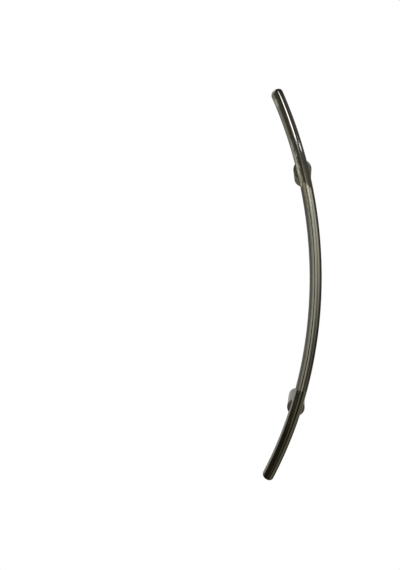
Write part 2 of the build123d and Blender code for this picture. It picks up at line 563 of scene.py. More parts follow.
class BarShader:
    """Builds the bar's material over the unbent bar, from the values of its finish."""

    def __init__(self, finish: BarFinish, lines: BeltLines, smudges: Smudges) -> None:
        """Start the material and place the effects in it.

        Args:
            finish: Values of the finish.
            lines: The belt line effect.
            smudges: The handling mark effect.
        """
        self.finish = finish
        self.material, self.graph = new_material("bar_plating")
        place = self.graph.add("ShaderNodeAttribute", attribute_name=PLACE).outputs["Vector"]
        self.length, self.ahead, self.aside = self.graph.add("ShaderNodeSeparateXYZ", {0: place}).outputs
        self.fine, self.broad, self.wisp_highlights = (
            lines.place(self.graph, Place=place, Along=along, Across=across)
            for along, across in (finish.fine_lines, finish.broad_lines, finish.wisp_highlight_lines))
        marks = smudges.place(self.graph, Place=place, Scale=finish.mark_scale)
        self.worn = self.graph.math("MAXIMUM", self.patch(finish.worn), finish.least_worn)
        self.marked = self.graph.product(marks, self.worn)
        self.grip = self.brushed_share()

    def patch(self, patch: Patch) -> Socket:
        """Share of a patch: the product of its two strips and its own share."""
        strips = self.graph.strip(self.length, patch.along), self.graph.strip(self.aside, patch.across)
        return self.graph.product(*strips, patch.share)

    def brushed_share(self) -> Socket:
        """Where the bar is brushed: between two edges, the upper one peaked and ragged.

        The upper edge lies further out by slant * max(half the peak's width - |aside - peak|, 0) and by the
        swing of the broad lines.

        Returns:
            A share from nought to one.
        """
        graph, finish = self.graph, self.finish
        off_peak = graph.math("ABSOLUTE", graph.math("SUBTRACT", self.aside, finish.grip_peak))
        peak = graph.math("MAXIMUM", graph.math("SUBTRACT", finish.grip_peak_half, off_peak), 0.0)
        runout = graph.swing(self.broad, finish.grip_ragged, graph.product(peak, finish.grip_slant))
        above = graph.product(runout, graph.math("GREATER_THAN", self.length, 0.0))
        reach = graph.math("SUBTRACT", graph.math("ABSOLUTE", self.length), above)
        inner, outer = finish.grip_half - finish.grip_edge, finish.grip_half + finish.grip_edge
        return graph.ramp(reach, inner, outer, 1.0, 0.0)

    def painted_reflection_bands(self, angle: Socket, tones: Tones) -> Socket:
        """Painted reflection: tone of bands along the grip that stand in for its lengthwise reflections.

        Args:
            angle: Angle round the bar from its front, in radians.
            tones: Angles in degrees, from -180 to 180, with their tones.

        Returns:
            A factor for the colour.
        """
        turn = self.graph.math("MULTIPLY_ADD", angle, 0.5 / math.pi, 0.5)
        node = self.graph.add("ShaderNodeValToRGB", {0: turn})
        stops = node.color_ramp.elements
        for degrees, tone in tones[1:-1]:
            stops.new((degrees + 180.0) / 360.0).color = (tone, tone, tone, 1.0)
        for stop, (_, tone) in ((stops[0], tones[0]), (stops[-1], tones[-1])):
            stop.color = (tone, tone, tone, 1.0)
        return node.outputs[0]

    def tone(self) -> Socket:
        """Tone of the brushing: painted reflection bands, which change from the lower half's to the upper
        half's, times the belt lines and a painted highlight on the upper front.

        Returns:
            A factor for the colour, one where the bar is polished.
        """
        graph, finish = self.graph, self.finish
        angle = graph.swing(self.broad, finish.reflection_band_wander, graph.math("ARCTAN2", self.aside, self.ahead))
        low, high = finish.reflection_band_change
        upward = graph.add("ShaderNodeMapRange", {0: self.length, 1: low, 2: high}).outputs[0]
        # Painted reflections: tone bands round the grip, the lower half's blending into the upper half's
        bands = graph.blend(
            upward, self.painted_reflection_bands(angle, finish.lower_reflection_tones), self.painted_reflection_bands(angle, finish.upper_reflection_tones))
        lines = graph.ramp(self.fine, *finish.line_swing, *finish.line_tones)
        # Painted highlight: the upper grip's front made lighter
        painted_highlight_gain = graph.math("ADD", self.patch(finish.painted_front_highlight), 1.0)
        streak = graph.product(bands, lines, painted_highlight_gain)
        return graph.math("MULTIPLY_ADD", graph.math("SUBTRACT", streak, 1.0), self.grip, 1.0)

    def colour(self) -> Socket:
        """Colour of the plating: polish with handling marks, painted haze light, painted highlight streaks
        and a pale tip patch, the brushing toned with painted reflections, and a painted warm reflection.

        Returns:
            The colour.
        """
        graph, finish = self.graph, self.finish
        marks = graph.product(graph.ramp(self.marked, *finish.mark_shown), finish.mark_haze)
        # Handling marks, and painted light near the lower post
        marks_and_painted_haze = graph.math("MAXIMUM", marks, self.patch(finish.painted_haze_light))
        shiny = graph.mix(marks_and_painted_haze, (*finish.polished, 1.0), (*finish.hazed, 1.0))
        # Painted highlight streaks above the upper post and a pale patch at the upper tip, on the front half
        wisp_highlights = graph.product(self.patch(finish.wisp_highlight_band), graph.ramp(self.wisp_highlights, *finish.wisp_highlight_shown))
        highlights_and_pale_tip = graph.math("MAXIMUM", wisp_highlights, self.patch(finish.pale_tip_patch))
        highlights_and_pale_tip = graph.product(highlights_and_pale_tip, graph.ramp(self.ahead, *finish.front_limit))
        shiny = graph.mix(highlights_and_pale_tip, shiny, (*finish.wisp_highlight_colour, 1.0))
        base = graph.mix(self.grip, shiny, (*finish.brushed, 1.0))
        # The brushing toned with painted reflections and a painted highlight
        toned = graph.vector("SCALE", {0: base, "Scale": self.tone()})
        # Painted warm reflection near the upper post
        painted_warm_reflection = graph.mix(self.patch(finish.warm_reflection_patch), WHITE, (*finish.warm_reflection_colour, 1.0))
        return graph.vector("MULTIPLY", {0: toned, 1: painted_warm_reflection})

    def rough(self) -> Socket:
        """Roughness: low on the polish, more where it is handled and most on the brushing.

        Returns:
            The roughness.
        """
        graph, finish = self.graph, self.finish
        smooth = graph.math("MULTIPLY_ADD", self.worn, finish.worn_rough, finish.polished_rough)
        smooth = graph.math("MULTIPLY_ADD", self.marked, finish.mark_rough, smooth)
        brushed = graph.math("MULTIPLY_ADD", self.fine, finish.line_rough, finish.brushed_rough)
        return graph.blend(self.grip, smooth, brushed)

    def build(self) -> bpy.types.Material:
        """Join colour, roughness and the brushing's relief in the shader and return the material."""
        graph, finish = self.graph, self.finish
        normal = graph.relief(graph.product(self.fine, self.grip), finish.line_bump, finish.line_depth)
        graph.principled({
            "Base Color": self.colour(), "Metallic": 1.0, "Roughness": self.rough(), "Normal": normal})
        return self.material


@dataclass(frozen=True)
class TurnedFinish:
    """Turned metal: tool lines round the axis under the polish or left bare.

    Painted shade darkens the posts' front rims, except under the upper post, and the upper post's front face.
    """

    name: str
    colour: Colour
    rough: float
    line_bump: float
    # Painted shade on the rims and on the upper post's front face
    rim_painted_shade: float = 1.0
    upper_face_painted_shade: float = 1.0
    line_depth: float = 0.0001
    line_swing: float = 0.25
    line_scales: tuple[float, float] = (60.0, 2600.0)
    mark_scale: float = 80.0
    mark_rough: float = 0.12
    rim_width: float = 0.0020
    rim_depth: float = 0.0024
    under_from: float = -0.002
    under_to: float = -0.006
    upper_from: float = 0.01
    face_depth: float = 0.0010
    face_full: float = 0.0004

    def post_tone(self, graph: Graph, axes: tuple[Socket, Socket, Socket], radius: Socket) -> Socket:
        """Painted shade on the front rims and on the upper post's front face.

        Args:
            graph: The material's graph.
            axes: Y and Z of the object, and the height over the post's axis, away from the handle's middle.
            radius: Distance from the post's axis.

        Returns:
            A factor for the colour.
        """
        y, z, level = axes
        front = -SIZES.post_front
        rim = graph.product(
            graph.ramp(radius, SIZES.post_r - self.rim_width, SIZES.post_r - self.rim_width / 2),
            graph.ramp(y, front + self.rim_depth, front + self.rim_depth / 2))
        under = graph.product(
            graph.ramp(z, 0.0, self.upper_from), graph.ramp(level, self.under_to, self.under_from, 1.0, 0.0))
        rim = graph.product(rim, graph.math("MULTIPLY_ADD", under, 1.0 - self.rim_painted_shade, self.rim_painted_shade - 1.0))
        face = graph.ramp(y, front + self.face_depth, front + self.face_full, 0.0, self.upper_face_painted_shade - 1.0)
        face = graph.product(face, graph.math("GREATER_THAN", z, 0.0))
        return graph.product(graph.math("ADD", rim, 1.0), graph.math("ADD", face, 1.0))

    def build(self, lines: BeltLines, smudges: Smudges) -> bpy.types.Material:
        """Build the material on object coordinates.

        The tool lines follow the distance from the post's axis plus the stand, so they ring the walls and
        circle the ends.

        Args:
            lines: The belt line effect.
            smudges: The handling mark effect.

        Returns:
            The material.
        """
        material, graph = new_material(self.name)
        place = graph.add("ShaderNodeTexCoord").outputs["Object"]
        marks = smudges.place(graph, Place=place, Scale=self.mark_scale)
        x, y, z = graph.add("ShaderNodeSeparateXYZ", {0: place}).outputs
        level = graph.math("SUBTRACT", graph.math("ABSOLUTE", z), SIZES.half_centres)
        spoke = graph.add("ShaderNodeCombineXYZ", {0: x, 2: level}).outputs[0]
        radius = graph.vector("LENGTH", {0: spoke}, "Value")
        cut = {0: graph.math("ADD", x, level), 1: graph.math("SUBTRACT", radius, y)}
        along, across = self.line_scales
        tool = lines.place(
            graph, Place=graph.add("ShaderNodeCombineXYZ", cut).outputs[0], Along=along, Across=across)
        # Tool line tone times the painted shade of the posts' rims and face
        tone = graph.product(
            graph.swing(tool, self.line_swing, 1.0), self.post_tone(graph, (y, z, level), radius))
        graph.principled({
            "Base Color": graph.vector("SCALE", {0: self.colour, "Scale": tone}), "Metallic": 1.0,
            "Roughness": graph.math("MULTIPLY_ADD", marks, self.mark_rough, self.rough),
            "Normal": graph.relief(tool, self.line_bump, self.line_depth)})
        return material


@dataclass(frozen=True)
class RubberFinish:
    """Moulded rubber: near black with a fine matt grain and a pale bloom."""

    colour: Colour = (0.028, 0.028, 0.027)
    bloom_times: float = 2.4
    bloom_scale: float = 120.0
    grain_scale: float = 5200.0
    grain_detail: float = 2.0
    rough: float = 0.6
    grain_rough: float = 0.2
    grain_bump: float = 0.3
    grain_depth: float = 0.0001

    def build(self, smudges: Smudges) -> bpy.types.Material:
        """Build the material on object coordinates.

        Args:
            smudges: The handling mark effect, used here as bloom on the rubber.

        Returns:
            The material.
        """
        material, graph = new_material("pad_rubber")
        place = graph.add("ShaderNodeTexCoord").outputs["Object"]
        bloom = smudges.place(graph, Place=place, Scale=self.bloom_scale)
        grain = graph.noise(place, self.grain_scale, self.grain_detail)
        pale = tuple(self.bloom_times * part for part in self.colour)
        graph.principled({
            "Base Color": graph.mix(bloom, (*self.colour, 1.0), (*pale, 1.0)),
            "Roughness": graph.math("MULTIPLY_ADD", grain, self.grain_rough, self.rough),
            "Normal": graph.relief(grain, self.grain_bump, self.grain_depth)})
        return material


class Finishes:
    """All finishes of the handle, built once."""

    # The post plating's 0.5 and 0.72 are its painted shade on rims and upper face
    plating = TurnedFinish("post_plating", (0.194, 0.190, 0.154), 0.18, 0.03, 0.5, 0.72)
    bare_steel = TurnedFinish("turned_steel", (0.50, 0.49, 0.47), 0.28, 0.25)
    black_steel = TurnedFinish("blackened_steel", (0.10, 0.10, 0.10), 0.34, 0.12)

    def __init__(self) -> None:
        """Build the shared effects and the materials."""
        lines, smudges = BeltLines(), Smudges()
        self.bar = BarShader(BarFinish(), lines, smudges).build()
        self.post = self.plating.build(lines, smudges)
        self.steel = self.bare_steel.build(lines, smudges)
        self.black = self.black_steel.build(lines, smudges)
        self.rubber = RubberFinish().build(smudges)


def dress(piece: bpy.types.Object, node: str, finish: bpy.types.Material) -> None:
    """Give a piece its finish, hang it on the root body and hide the node that it stands for.

    Args:
        piece: The new piece.
        node: The node that it replaces.
        finish: Its material.
    """
    piece.data.materials.append(finish)
    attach(piece, "root")
    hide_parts(node)
    log.info("%s: %d faces", piece.name, len(piece.data.polygons))


@dataclass
class Bar:
    """The bent tube and the caps that close it."""

    finishes: Finishes
    edge_r: float = 0.006
    land: float = 0.0005
    spigot: float = 0.010
    spigot_gap: float = 0.0001
    spigot_chamfer: float = 0.001
    rows: int = 260
    inner_rows: int = 65
    cols: int = 96
    face_rows: int = 6
    face_share: float = 0.9
    edge_rows: int = 21

    def section(self, angle: np.ndarray) -> tuple[np.ndarray, np.ndarray, np.ndarray]:
        """Frame of the bar's section at angles along it.

        The centre is the bend's axis plus bend radius * (cos(angle), sin(angle)) in X and Z.

        Args:
            angle: Angles from the middle of the bow, in radians.

        Returns:
            Centre, outward and along vectors, each with the shape of angle plus 3.
        """
        zero = np.zeros_like(angle)
        outward = np.stack([np.cos(angle), zero, np.sin(angle)], -1)
        along = np.stack([-np.sin(angle), zero, np.cos(angle)], -1)
        centre = np.array([SIZES.bend_x, -SIZES.bar_stand, 0.0]) + SIZES.bend_radius * outward
        return centre, outward, along

    def tube(self) -> Surface:
        """Carry the tube's wall along the arc.

        A point is centre(angle) + radius * (cos(turn) * front + sin(turn) * outward). The rows run up the
        outside at the bar's radius and back down the inside at the bore's, so that the ends close as flat
        rings.

        Returns:
            The tube; its place is that of the unbent bar.
        """
        out = np.linspace(-SIZES.tube_angle, SIZES.tube_angle, self.rows)
        back = np.linspace(SIZES.tube_angle, -SIZES.tube_angle, self.inner_rows)
        angle = np.concatenate([out, back])
        inner = SIZES.bar_r - SIZES.bar_wall
        radius = np.concatenate([np.full(len(out), SIZES.bar_r), np.full(len(back), inner)])[:, None]
        turn = angles_round(self.cols)
        centre, outward, _ = self.section(angle)
        ahead, aside = radius * np.cos(turn), radius * np.sin(turn)
        points = centre[:, None, :] + ahead[..., None] * FRONT + aside[..., None] * outward[:, None, :]
        length = np.broadcast_to(angle[:, None] * SIZES.bend_radius, ahead.shape)
        return Surface.grid(points, np.stack([length, ahead, aside], -1), wrap_rows=True)

    def cap(self, end: End) -> Surface:
        """Turn an end cap: flat face, rounded edge, head flush with the tube and a spigot inside it.

        Args:
            end: Which end of the bar.

        Returns:
            The cap; its place continues that of the unbent bar.
        """
        bar_r, head, tail = SIZES.bar_r, SIZES.cap_head, -self.spigot
        inside = bar_r - SIZES.bar_wall - self.spigot_gap
        flat = np.linspace(0.0, self.face_share * (bar_r - self.edge_r), self.face_rows)
        face = np.column_stack([flat, np.full(self.face_rows, head)])
        edge = rounded((0.0, head), (bar_r, head), (bar_r, 0.0), self.edge_r, self.edge_rows)
        rest = np.array([
            (bar_r, self.land), (bar_r, 0.0), (inside, 0.0), (inside, tail + self.spigot_chamfer),
            (inside - self.spigot_chamfer, tail), (0.0, tail)])
        centre, _, along = self.section(np.array(end.value * SIZES.tube_angle))
        profile = all_round(np.vstack([face, edge, rest]), self.cols)
        cap = turned(profile, centre, end.value * along, FRONT)
        start = end.value * SIZES.tube_angle * SIZES.bend_radius
        height, ahead, side = cap.place.T
        cap.place = np.column_stack([start + end.value * height, ahead, -end.value * side])
        return cap

    def build(self) -> None:
        """Build and dress the tube and both caps."""
        dress(self.tube().build("bar_tube"), "grip_tube", self.finishes.bar)
        for end in End:
            cap = self.cap(end).build(f"bar_cap_{end.word}")
            dress(cap, f"{end.word}_end_cap", self.finishes.bar)


@dataclass
class Post:
    """One turned post and the pad behind it."""

    finishes: Finishes
    end: End
    rim_r: float = 0.0018
    chamfer: float = 0.0005
    pad_inset: float = 0.0005
    pad_gap: float = 0.00005
    pad_soft: float = 0.0003
    pad_soft_rows: int = 5
    pad_segments: int = 128
    flat_cols: int = 30
    seat_cols: int = 48
    seat_rows: int = 40
    rim_rows: int = 13
    wall_rows: int = 24
    rear_rows: int = 4
    drill_half: float = 0.005
    drill_rows: int = 11
    drill_deg: float = 34.0
    collar_rows: int = 7
    lining_rows: int = 5
    near: float = 1e-6

    @property
    def foot(self) -> np.ndarray:
        """Point where the post's axis meets the door."""
        return SIZES.post_foot(self.end)

    def seat(self, x: np.ndarray, z: np.ndarray) -> np.ndarray:
        """Stand of the saddle under the bar.

        The stand is that of the bar's centre line minus sqrt(r^2 - d^2), where d is the distance in plan
        from the bar's arc; beyond the bar it is without limit.

        Args:
            x: X of the points.
            z: Z of the points.

        Returns:
            Stands of the saddle.
        """
        away = np.hypot(x - SIZES.bend_x, z) - SIZES.bend_radius
        room = (SIZES.bar_r + SIZES.seat_gap) ** 2 - away**2
        return np.where(room > 0.0, SIZES.bar_stand - np.sqrt(np.maximum(room, 0.0)), np.inf)

    def face_grid(self) -> tuple[np.ndarray, np.ndarray]:
        """Plan of the front face in strips that follow the bar.

        The columns lie at distances d from the bar's arc, two of them on the saddle's edges, and each runs
        along the arc between the two places where it meets the face's circle of radius f:
        cos(b) = (Rd^2 + R^2 - f^2) / (2 R Rd), Rd = R + d, with R the bend's radius.

        Returns:
            X and Z of the grid.
        """
        bend, flat = SIZES.bend_radius, SIZES.post_r - self.rim_r
        half = math.sqrt((SIZES.bar_r + SIZES.seat_gap) ** 2 - SIZES.seat_drop**2)
        edge = math.asin(half / flat)
        lean = np.concatenate([
            np.linspace(-math.pi / 2, -edge, self.flat_cols, endpoint=False),
            np.linspace(-edge, edge, self.seat_cols, endpoint=False),
            np.linspace(edge, math.pi / 2, self.flat_cols + 1),
        ])
        strip = bend + flat * np.sin(lean)
        reach = np.arccos(np.clip((strip**2 + bend**2 - flat**2) / (2 * bend * strip), -1.0, 1.0))
        spread = np.linspace(-1.0, 1.0, self.seat_rows)[:, None] * reach[None, :]
        angle = self.end.value * SIZES.post_angle + spread
        return SIZES.bend_x + strip * np.cos(angle), strip * np.sin(angle)

    def profile(self) -> tuple[np.ndarray, int]:
        """Profile of the turned post from the front face's edge round to the middle of its bore.

        Returns:
            Array of (radius, stand) pairs, and how many of them lie on the outside.
        """
        post_r, bore_r, front = SIZES.post_r, SIZES.bore_r, SIZES.post_front
        rear, pad = SIZES.gasket_t + self.chamfer, SIZES.gasket_t
        top, low = SIZES.grub_stand + self.drill_half, SIZES.grub_stand - self.drill_half
        drilled = np.linspace(top, low, self.drill_rows)
        rim = rounded((post_r - self.rim_r, front), (post_r, front), (post_r, 0.0), self.rim_r, self.rim_rows)
        wall = np.concatenate([
            np.linspace(front - self.rim_r, top, self.wall_rows)[1:-1], drilled,
            np.linspace(low, rear, self.rear_rows)[1:]])
        bore = np.concatenate([[rear], drilled[::-1], [SIZES.web_back]])
        outer = np.vstack([rim, straight(post_r, wall)])
        rest = np.vstack([
            [(post_r - self.chamfer, pad), (bore_r + self.chamfer, pad)], straight(bore_r, bore),
            [(0.0, SIZES.web_back)]])
        return np.vstack([outer, rest]), len(outer)

    def drilled_block(self, profile: np.ndarray, turn: np.ndarray, radius: float) -> Block:
        """Find the block of the lathe grid that the grub screw's hole breaks.

        Args:
            profile: The post's profile.
            turn: Angles of the grid's columns.
            radius: Radius of the wall that is broken.

        Returns:
            The block.
        """
        level = np.abs(profile[:, 1] - SIZES.grub_stand) < self.drill_half + self.near
        rows = np.flatnonzero(level & (np.abs(profile[:, 0] - radius) < self.near))
        cols = np.flatnonzero(np.cos(turn + math.pi / 2) > math.cos(math.radians(self.drill_deg)))
        return Block(int(rows[0]), int(rows[-1]), int(cols[0]), int(cols[-1]))

    def drop(self, x: np.ndarray, stand: np.ndarray, radius: float) -> np.ndarray:
        """Lay points on the underside of a round wall: z is that of the axis minus sqrt(radius^2 - x^2)."""
        return np.stack([x, -stand, self.foot[2] - np.sqrt(radius**2 - x**2)], -1)

    def grub_hole(self, outer: np.ndarray, inner: np.ndarray) -> Surface:
        """Close two broken walls in on the grub screw's hole and line the hole.

        Seen along the hole, a point of a collar is (1 - t) * border + t * hole, where the hole's point lies
        on its circle in the direction of the outer border's point. The lining runs straight from the outer
        circle to the inner one.

        Args:
            outer: Border of the break in the outer wall.
            inner: Border of the break in the bore, with as many points.

        Returns:
            Both collars and the lining.
        """
        ways = [np.arctan2(-border[:, 1] - SIZES.grub_stand, border[:, 0]) for border in (outer, inner)]
        outer, inner = outer[np.argsort(ways[0])], inner[np.argsort(ways[1])]
        way = np.sort(ways[0])
        hole_x = SIZES.grub_hole_r * np.cos(way)
        hole_stand = SIZES.grub_stand + SIZES.grub_hole_r * np.sin(way)
        step = np.linspace(0.0, 1.0, self.collar_rows)[:, None]
        collars = []
        for border, radius in ((outer, SIZES.post_r), (inner, SIZES.bore_r)):
            x = (1.0 - step) * border[:, 0] + step * hole_x
            stand = -(1.0 - step) * border[:, 1] + step * hole_stand
            collars.append(self.drop(x, stand, radius))
        step = np.linspace(0.0, 1.0, self.lining_rows)[:, None, None]
        lining = (1.0 - step) * collars[0][-1] + step * collars[1][-1]
        first, second, third = (Surface.grid(points, points) for points in (*collars, lining))
        return first.joined(second).joined(third)

    def body(self) -> Surface:
        """Turn the post, sink the saddle into its front and drill it for the grub screw.

        Every point's stand is the smaller of the turned profile and the saddle.

        Returns:
            The post's surface.
        """
        x, z = self.face_grid()
        stand = np.minimum(SIZES.post_front, self.seat(x, z))
        face = np.stack([x, -stand, z], -1)
        ring_x = np.concatenate([x[0, :-1], x[-1, :0:-1]])
        ring_z = np.concatenate([z[0, :-1], z[-1, :0:-1]])
        turn = np.arctan2(ring_z - self.foot[2], ring_x)
        profile, outside = self.profile()
        side_x = profile[:, :1] * np.cos(turn)
        side_z = self.foot[2] + profile[:, :1] * np.sin(turn)
        side = np.broadcast_to(profile[:, 1:], side_x.shape).copy()
        side[:outside] = np.minimum(side[:outside], self.seat(side_x, side_z)[:outside])
        points = np.stack([side_x, -side, side_z], -1)
        breaks = tuple(self.drilled_block(profile, turn, radius) for radius in (SIZES.post_r, SIZES.bore_r))
        lathe = Surface.grid(points, points, gaps=breaks)
        outer, inner = (block.border(points) for block in breaks)
        return Surface.grid(face, face, wrap_cols=False).joined(lathe).joined(self.grub_hole(outer, inner))

    def pad(self) -> Surface:
        """Turn the flat pad ring between post and door: a rectangle with two soft outer edges.

        Returns:
            The pad.
        """
        inner, outer, t = SIZES.bore_r + self.pad_gap, SIZES.post_r - self.pad_inset, SIZES.gasket_t
        profile = np.vstack([
            rounded((inner, 0.0), (outer, 0.0), (outer, t), self.pad_soft, self.pad_soft_rows),
            rounded((outer, 0.0), (outer, t), (inner, t), self.pad_soft, self.pad_soft_rows),
            [(inner, t), (inner, 0.0)]])
        closed = all_round(np.vstack([profile, profile[:1]]), self.pad_segments)
        return turned(closed, self.foot, FRONT, SIDE)

    def build(self) -> None:
        """Build and dress the post and its pad."""
        word = self.end.word
        dress(self.body().build(f"post_{word}"), f"{word}_post", self.finishes.post)
        dress(self.pad().build(f"pad_{word}"), f"{word}_gasket", self.finishes.rubber)


@dataclass
class Boss:
    """Turned boss in a post's bore: tapped for the door bolt, with a groove for the grub screw."""

    finishes: Finishes
    end: End
    radius: float = 0.00895
    front: float = 0.034
    front_chamfer: float = 0.0015
    rear_chamfer: float = 0.0005
    groove: float = 0.001
    hole_r: float = 0.0034
    hole_end: float = 0.027
    tapped: float = 0.022
    pitch: float = 0.00125
    thread_depth: float = 0.0006
    mouth: float = 0.0007
    pitch_rows: int = 8
    fade_pitches: int = 2
    segments: int = 96

    def outside(self) -> np.ndarray:
        """Return the profile of the outside from the rear face to the front one."""
        r, front, groove, stand = self.radius, self.front, self.groove, SIZES.grub_stand
        return all_round([
            (r - self.rear_chamfer, 0.0), (r, self.rear_chamfer), (r, stand - groove), (r - groove, stand),
            (r, stand + groove), (r, front - self.front_chamfer), (r - self.front_chamfer, front),
            (0.0, front)], self.segments)

    def hole(self) -> np.ndarray:
        """Profile of the tapped hole from its drill point to its mouth, at every angle.

        The radius is the larger of the tapping hole with its thread, which fades out over the last pitches,
        and a mouth that opens by as much as the stand falls.

        Returns:
            Array of rows x segments x (radius, stand).
        """
        stand = np.arange(self.tapped, 0.0, -self.pitch / self.pitch_rows)[:, None]
        fade = np.clip((self.tapped - stand) / (self.fade_pitches * self.pitch), 0.0, 1.0)
        cut = fade * thread(stand, angles_round(self.segments), self.pitch, self.thread_depth)
        radius = self.hole_r + np.maximum(cut, self.mouth - stand)
        threaded = np.stack([radius, np.broadcast_to(stand, radius.shape)], -1)
        point = [(0.0, self.hole_end + self.hole_r / 2), (self.hole_r, self.hole_end)]
        mouth = [(self.hole_r + self.mouth, 0.0)]
        return np.concatenate([all_round(point, self.segments), threaded, all_round(mouth, self.segments)])

    def build(self) -> None:
        """Build and dress the boss."""
        profile = np.concatenate([self.hole(), self.outside()])
        boss = turned(profile, SIZES.post_foot(self.end), FRONT, SIDE).build(f"boss_{self.end.word}")
        dress(boss, f"{self.end.word}_mount_boss", self.finishes.steel)


@dataclass
class GrubScrews:
    """The two cone point screws in the undersides of the posts. Heights run from the post's axis outwards."""

    finishes: Finishes
    radius: float = 0.0025
    tip: float = 0.0084
    tip_r: float = 0.0004
    shoulder: float = 0.0105
    outer: float = 0.0143
    chamfer: float = 0.0004
    flat_to_flat: float = 0.0025
    socket: float = 0.002
    pitch: float = 0.0008
    thread_depth: float = 0.00040
    shank_rows: int = 35
    segments: int = 96

    def profile(self) -> np.ndarray:
        """Profile from the point to the floor of the hexagon socket, at every angle.

        The thread sinks below the radius by its depth and stays inside the cone. The hexagon's radius is
        half the flat-to-flat size divided by the cosine of the angle from the nearest flat's middle.

        Returns:
            Array of rows x segments x (radius, height).
        """
        angle, segments = angles_round(self.segments), self.segments
        height = np.linspace(self.shoulder, self.outer - self.chamfer, self.shank_rows)[:, None]
        shank = self.radius - thread(height, angle, self.pitch, self.thread_depth)
        cone = self.tip_r + (height - self.tip)
        shank = np.stack([np.minimum(shank, cone), np.broadcast_to(height, shank.shape)], -1)
        flat = np.remainder(angle + math.pi / 6, math.pi / 3) - math.pi / 6
        hexagon = (self.flat_to_flat / 2 / np.cos(flat)).repeat(2, 0)
        floor = self.outer - self.socket
        hexagon = np.stack([hexagon, np.broadcast_to([[self.outer], [floor]], hexagon.shape)], -1)
        point = all_round([(0.0, self.tip), (self.tip_r, self.tip)], segments)
        rim = all_round([(self.radius - self.chamfer, self.outer)], segments)
        return np.concatenate([point, shank, rim, hexagon, all_round([(0.0, floor)], segments)])

    def build(self) -> None:
        """Build and dress both screws as one piece."""
        profile, stand = self.profile(), SIZES.grub_stand * FRONT
        upper, lower = (turned(profile, SIZES.post_foot(end) + stand, -UP, SIDE) for end in End)
        pair = upper.joined(lower).build("grub_screw_pair")
        dress(pair, "grub_screws", self.finishes.black)


class Fixings:
    """Pieces kept from the frame as they are, in better finishes."""

    def __init__(self, finishes: Finishes) -> None:
        """Sort the kept nodes by finish."""
        self.finish_of = {
            "upper_tube_insert": finishes.steel,
            "lower_tube_insert": finishes.steel,
            "saddle_screws": finishes.black,
            "spring_washers": finishes.black,
        }

    def build(self) -> None:
        """Give each kept node its finish."""
        for node, finish in self.finish_of.items():
            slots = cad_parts[node].data.materials
            slots.clear()
            slots.append(finish)
            log.info("%s: kept", node)


# Tints of the light
PALE = (1.0, 0.99, 0.97)
PLAIN = (1.02, 1.00, 0.97)
WARM = (1.08, 1.00, 0.80)
COLD = (0.96, 0.94, 1.07)
DUSKY = (1.12, 1.00, 0.66)


@dataclass(frozen=True)
class Card:
    """A reflector or flag of the studio, placed by its direction from the handle, in degrees.

    Its light changes evenly to the top light, if it has one, and fades out over the soft shares of its
    width and height. A leaning card gains azimuth with height and a tilted one gains height with azimuth.
    """

    name: str
    azimuth: tuple[float, float]
    elevation: tuple[float, float]
    light: float
    top_light: float | None = None
    soft_across: float = 0.1
    soft_up: float = 0.1
    lean: float = 0.0
    tilt: float = 0.0
    tint: Colour = PALE


@dataclass(frozen=True)
class Shade:
    """A dim panel behind a post, between two heights."""

    name: str
    low: float
    high: float
    light: float
    tint: Colour


@dataclass(frozen=True)
class Lamp:
    """A square soft lamp that is aimed at the handle."""

    name: str
    spot: tuple[float, float, float]
    power: float
    size: float


